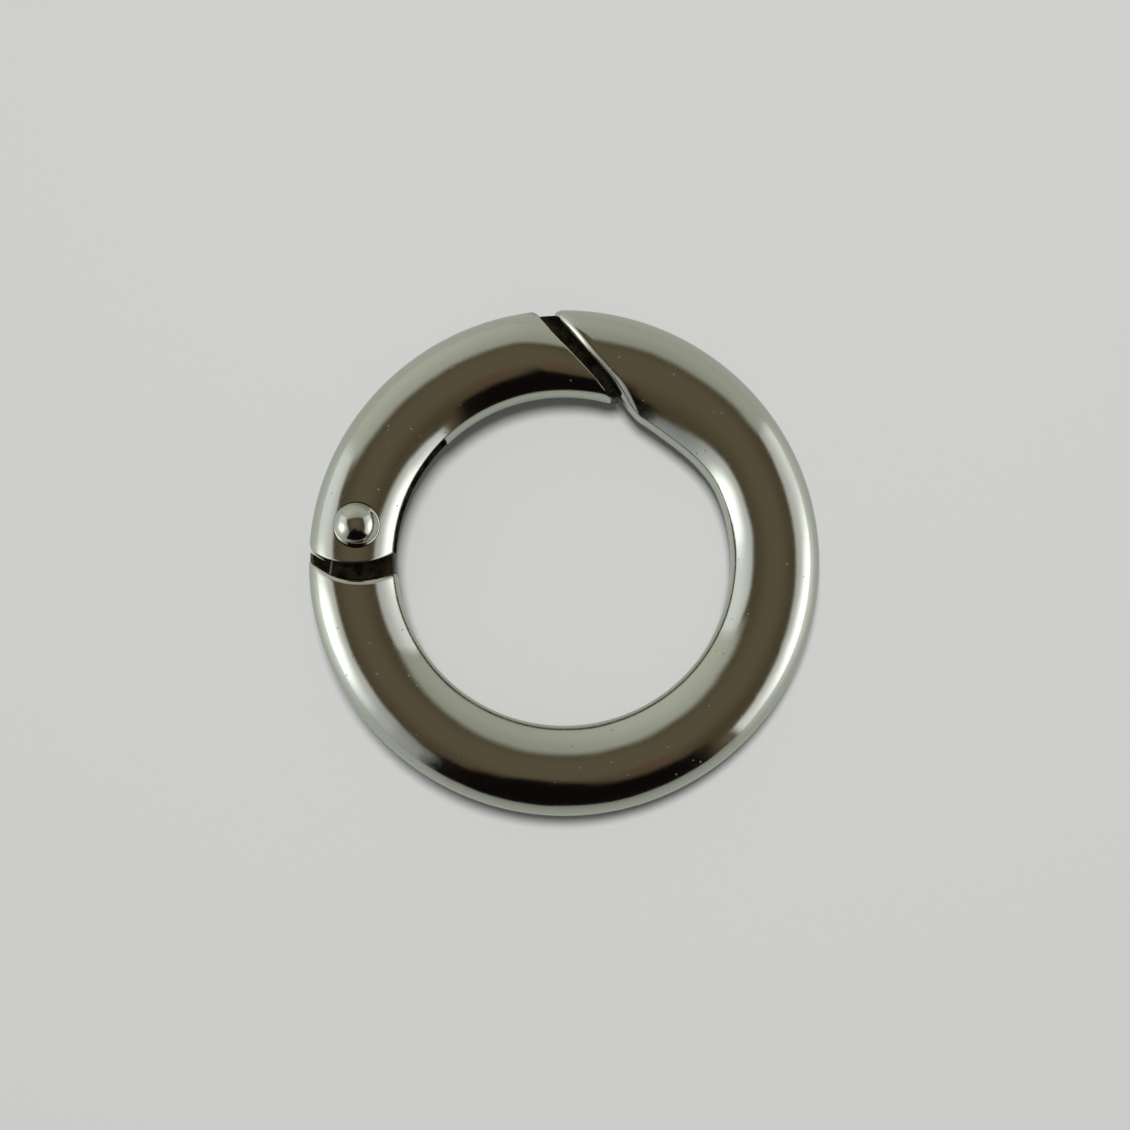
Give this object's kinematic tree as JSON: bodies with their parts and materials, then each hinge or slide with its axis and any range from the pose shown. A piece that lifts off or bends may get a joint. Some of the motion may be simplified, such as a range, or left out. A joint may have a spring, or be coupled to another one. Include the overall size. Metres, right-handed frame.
{
  "type": "spring gate ring",
  "caption": "Round nickel-plated carabiner ring with a spring-loaded gate that swings inward on a domed rivet and closes on a slanted joint.",
  "frame": {"origin": "centre of the ring, half way up its section", "axes": "+Z along the ring's axis, towards the side that faces up; the hinge is at -X and the slanted joint at +Y"},
  "size_m": [0.038, 0.038, 0.0078],
  "materials": {
    "plated_ring": "polished",
    "plated_gate": "polished",
    "plated_rivet": "polished",
    "spring_wire": "satin"
  },
  "bodies": {
    "ring": {"ring_body": "plated_ring", "gate_spring": "spring_wire"},
    "gate": {"gate": "plated_gate", "hinge_rivet": "plated_rivet"}
  },
  "joints": [
    {"name": "gate_hinge", "type": "hinge", "parent": "ring", "child": "gate", "pos_m": [-0.01528, 0.00217, 0], "axis": [0, 0, -1], "range_deg": [0, 60], "stiffness_Nm_per_rad": 0.0085, "springref_deg": -20.05, "deforming": ["gate_spring"]}
  ]
}
